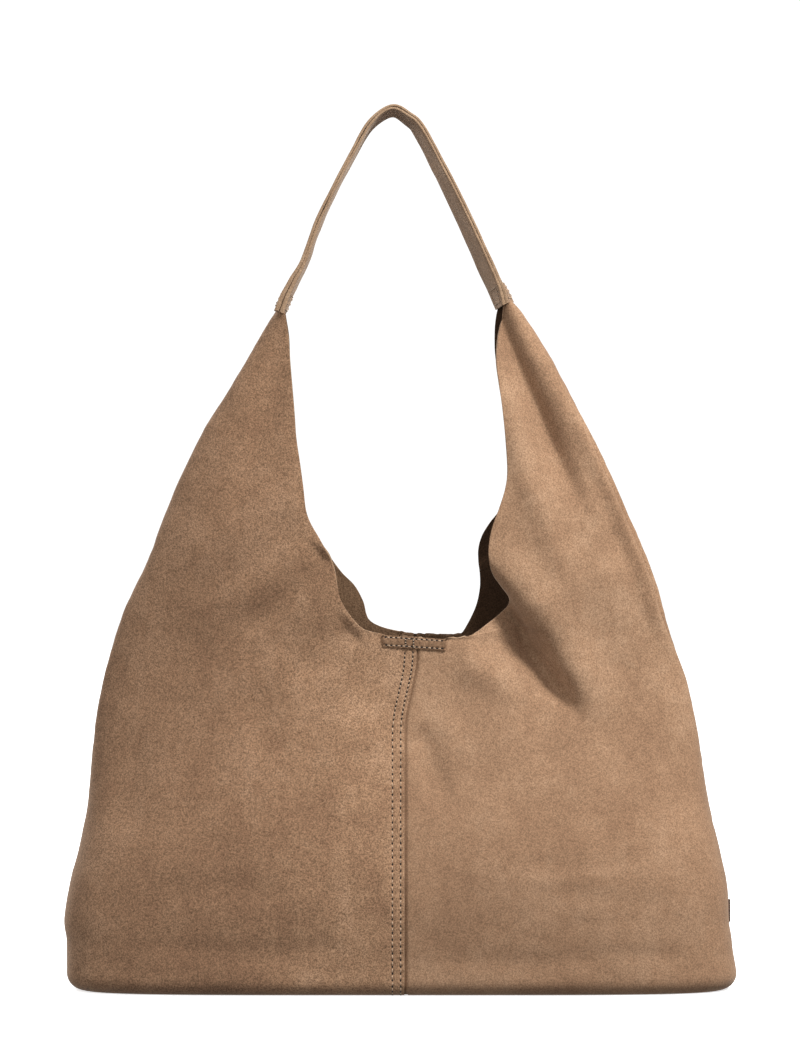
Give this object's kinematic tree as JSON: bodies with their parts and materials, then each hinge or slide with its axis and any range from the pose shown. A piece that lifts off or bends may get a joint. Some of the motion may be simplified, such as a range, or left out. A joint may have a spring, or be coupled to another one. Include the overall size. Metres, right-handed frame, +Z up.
{
  "type": "hobo bag",
  "caption": "Slouchy suede hobo bag with a boxed base, a deep scooped mouth, a narrow one-band shoulder strap and a magnetic snap.",
  "frame": {"origin": "middle of the underside, on the floor", "axes": "+Z up, -Y towards the front, +X to the right as seen from the front"},
  "size_m": [0.4173, 0.132, 0.5438],
  "materials": {
    "suede": "brushed taupe suede with a short nap, raw cut edges",
    "antique_brass": "satin antique brass",
    "pocket_cotton": "plain woven cotton twill",
    "zip_tape": "woven zip tape",
    "base_board": "bonded fibre board, dark brown",
    "label_leather": "smooth dark brown leather, blank"
  },
  "bodies": {
    "bag": {"front_left_panel": "suede", "front_right_panel": "suede", "back_left_panel": "suede", "back_right_panel": "suede", "base_panel": "suede", "back_patch": "suede", "back_snap_tab": "suede", "strap_left_end": "suede", "strap_right_end": "suede", "back_snap_socket": "antique_brass", "back_snap_washer": "antique_brass", "zip_upper_teeth": "antique_brass", "zip_lower_teeth": "antique_brass", "zip_left_stop": "antique_brass", "zip_right_stop": "antique_brass", "pocket_back": "pocket_cotton", "pocket_front": "pocket_cotton", "zip_upper_tape": "zip_tape", "zip_lower_tape": "zip_tape", "base_board": "base_board", "side_label": "label_leather"},
    "front_lip": {"front_patch": "suede", "front_snap_tab": "suede", "front_snap_washer": "antique_brass", "front_snap_stud": "antique_brass"},
    "strap": {"strap_outer_ply": "suede", "strap_inner_ply": "suede"},
    "slider": {"zip_slider": "antique_brass"},
    "puller": {"zip_puller": "antique_brass"}
  },
  "joints": [
    {"name": "strap_swing", "type": "hinge", "parent": "bag", "child": "strap", "pos_m": [0, 0, 0.43885], "axis": [1, 0, 0], "range_deg": [-100, 100], "deforming": ["strap_left_end", "strap_right_end"]},
    {"name": "mouth_close", "type": "hinge", "parent": "bag", "child": "front_lip", "pos_m": [0, -0.056, 0], "axis": [1, 0, 0], "range_deg": [-10, 8], "stiffness_Nm_per_rad": 0.6, "deforming": ["front_left_panel", "front_right_panel"]},
    {"name": "zip_run", "type": "slide", "parent": "bag", "child": "slider", "axis": [1, 0, 0], "range_m": [0, 0.149]},
    {"name": "puller_swing", "type": "hinge", "parent": "slider", "child": "puller", "pos_m": [-0.07445, 0.00651, 0.1471], "axis": [1, 0, 0], "range_deg": [-150, 0]}
  ]
}
